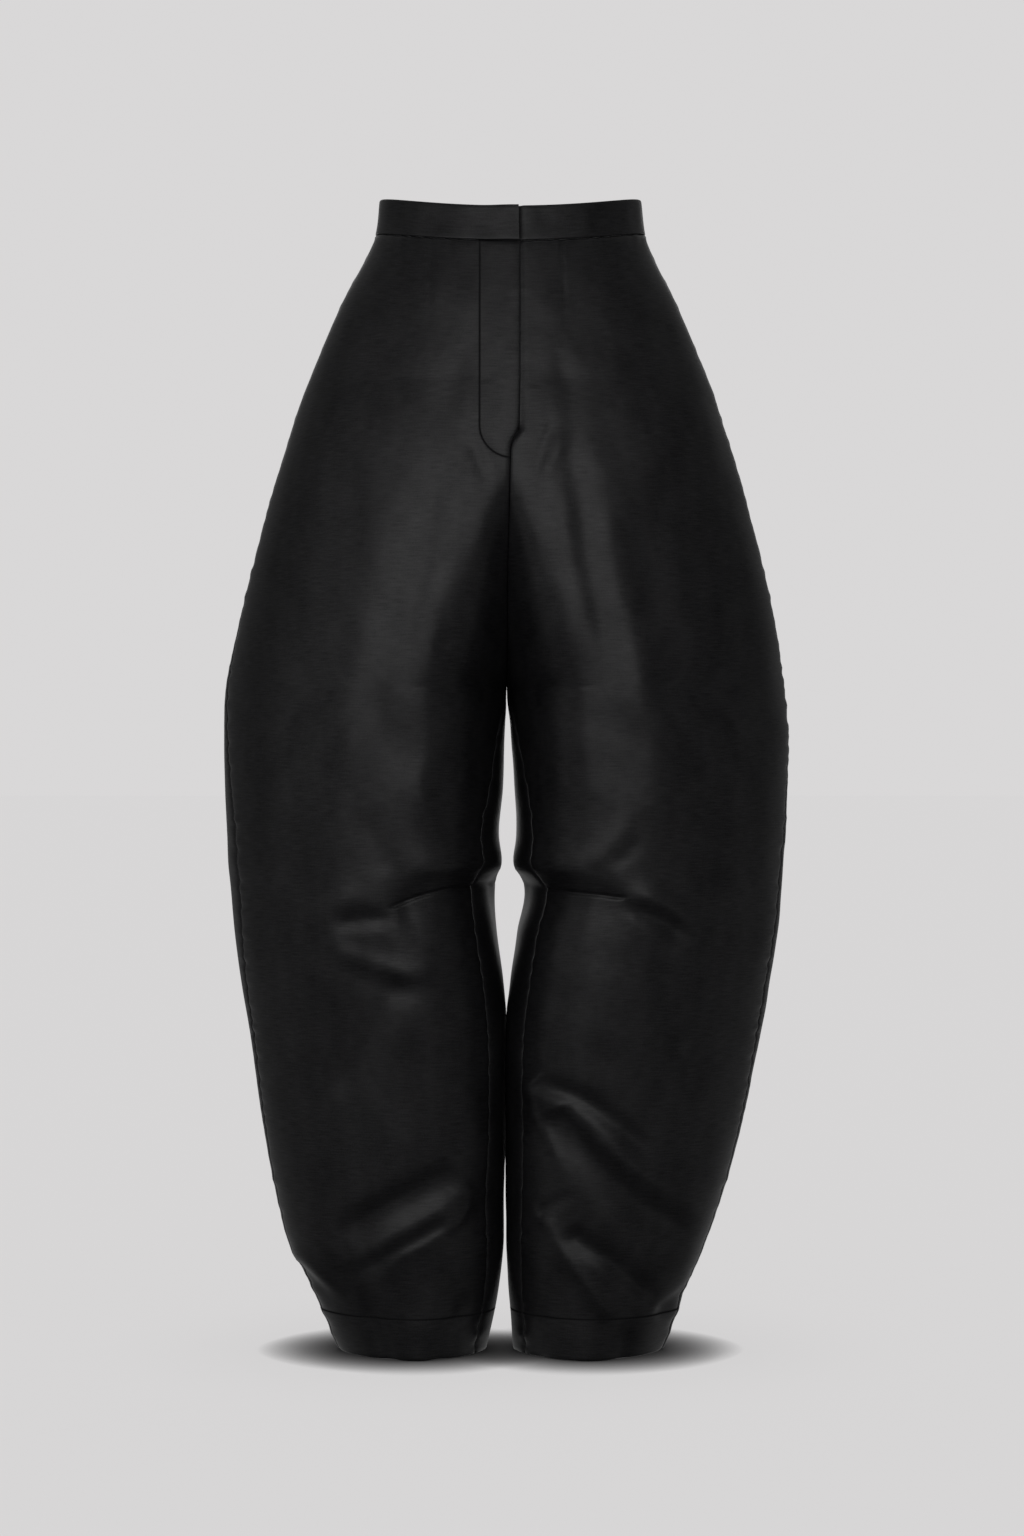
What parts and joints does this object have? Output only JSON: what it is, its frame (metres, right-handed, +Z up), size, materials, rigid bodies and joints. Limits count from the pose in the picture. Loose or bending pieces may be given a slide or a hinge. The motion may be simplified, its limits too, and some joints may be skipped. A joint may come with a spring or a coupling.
{
  "type": "barrel leg trousers",
  "caption": "High-waisted barrel leg trousers in black satin, hollow and filled out as if worn, with a waistband, lapped fly, knee darts and open hems.",
  "frame": {"origin": "middle of the waistband's ring, halfway up the band at the side seams", "axes": "+Z up towards the waist opening, the wearer faces -Y and the wearer's right leg is on the -X side"},
  "size_m": [0.5243, 0.2793, 1.0706],
  "materials": {
    "satin": "satin"
  },
  "bodies": {
    "root": {"front_right": "satin", "front_left": "satin", "back_right": "satin", "back_left": "satin", "waistband": "satin", "fly_shield": "satin"}
  },
  "joints": []
}
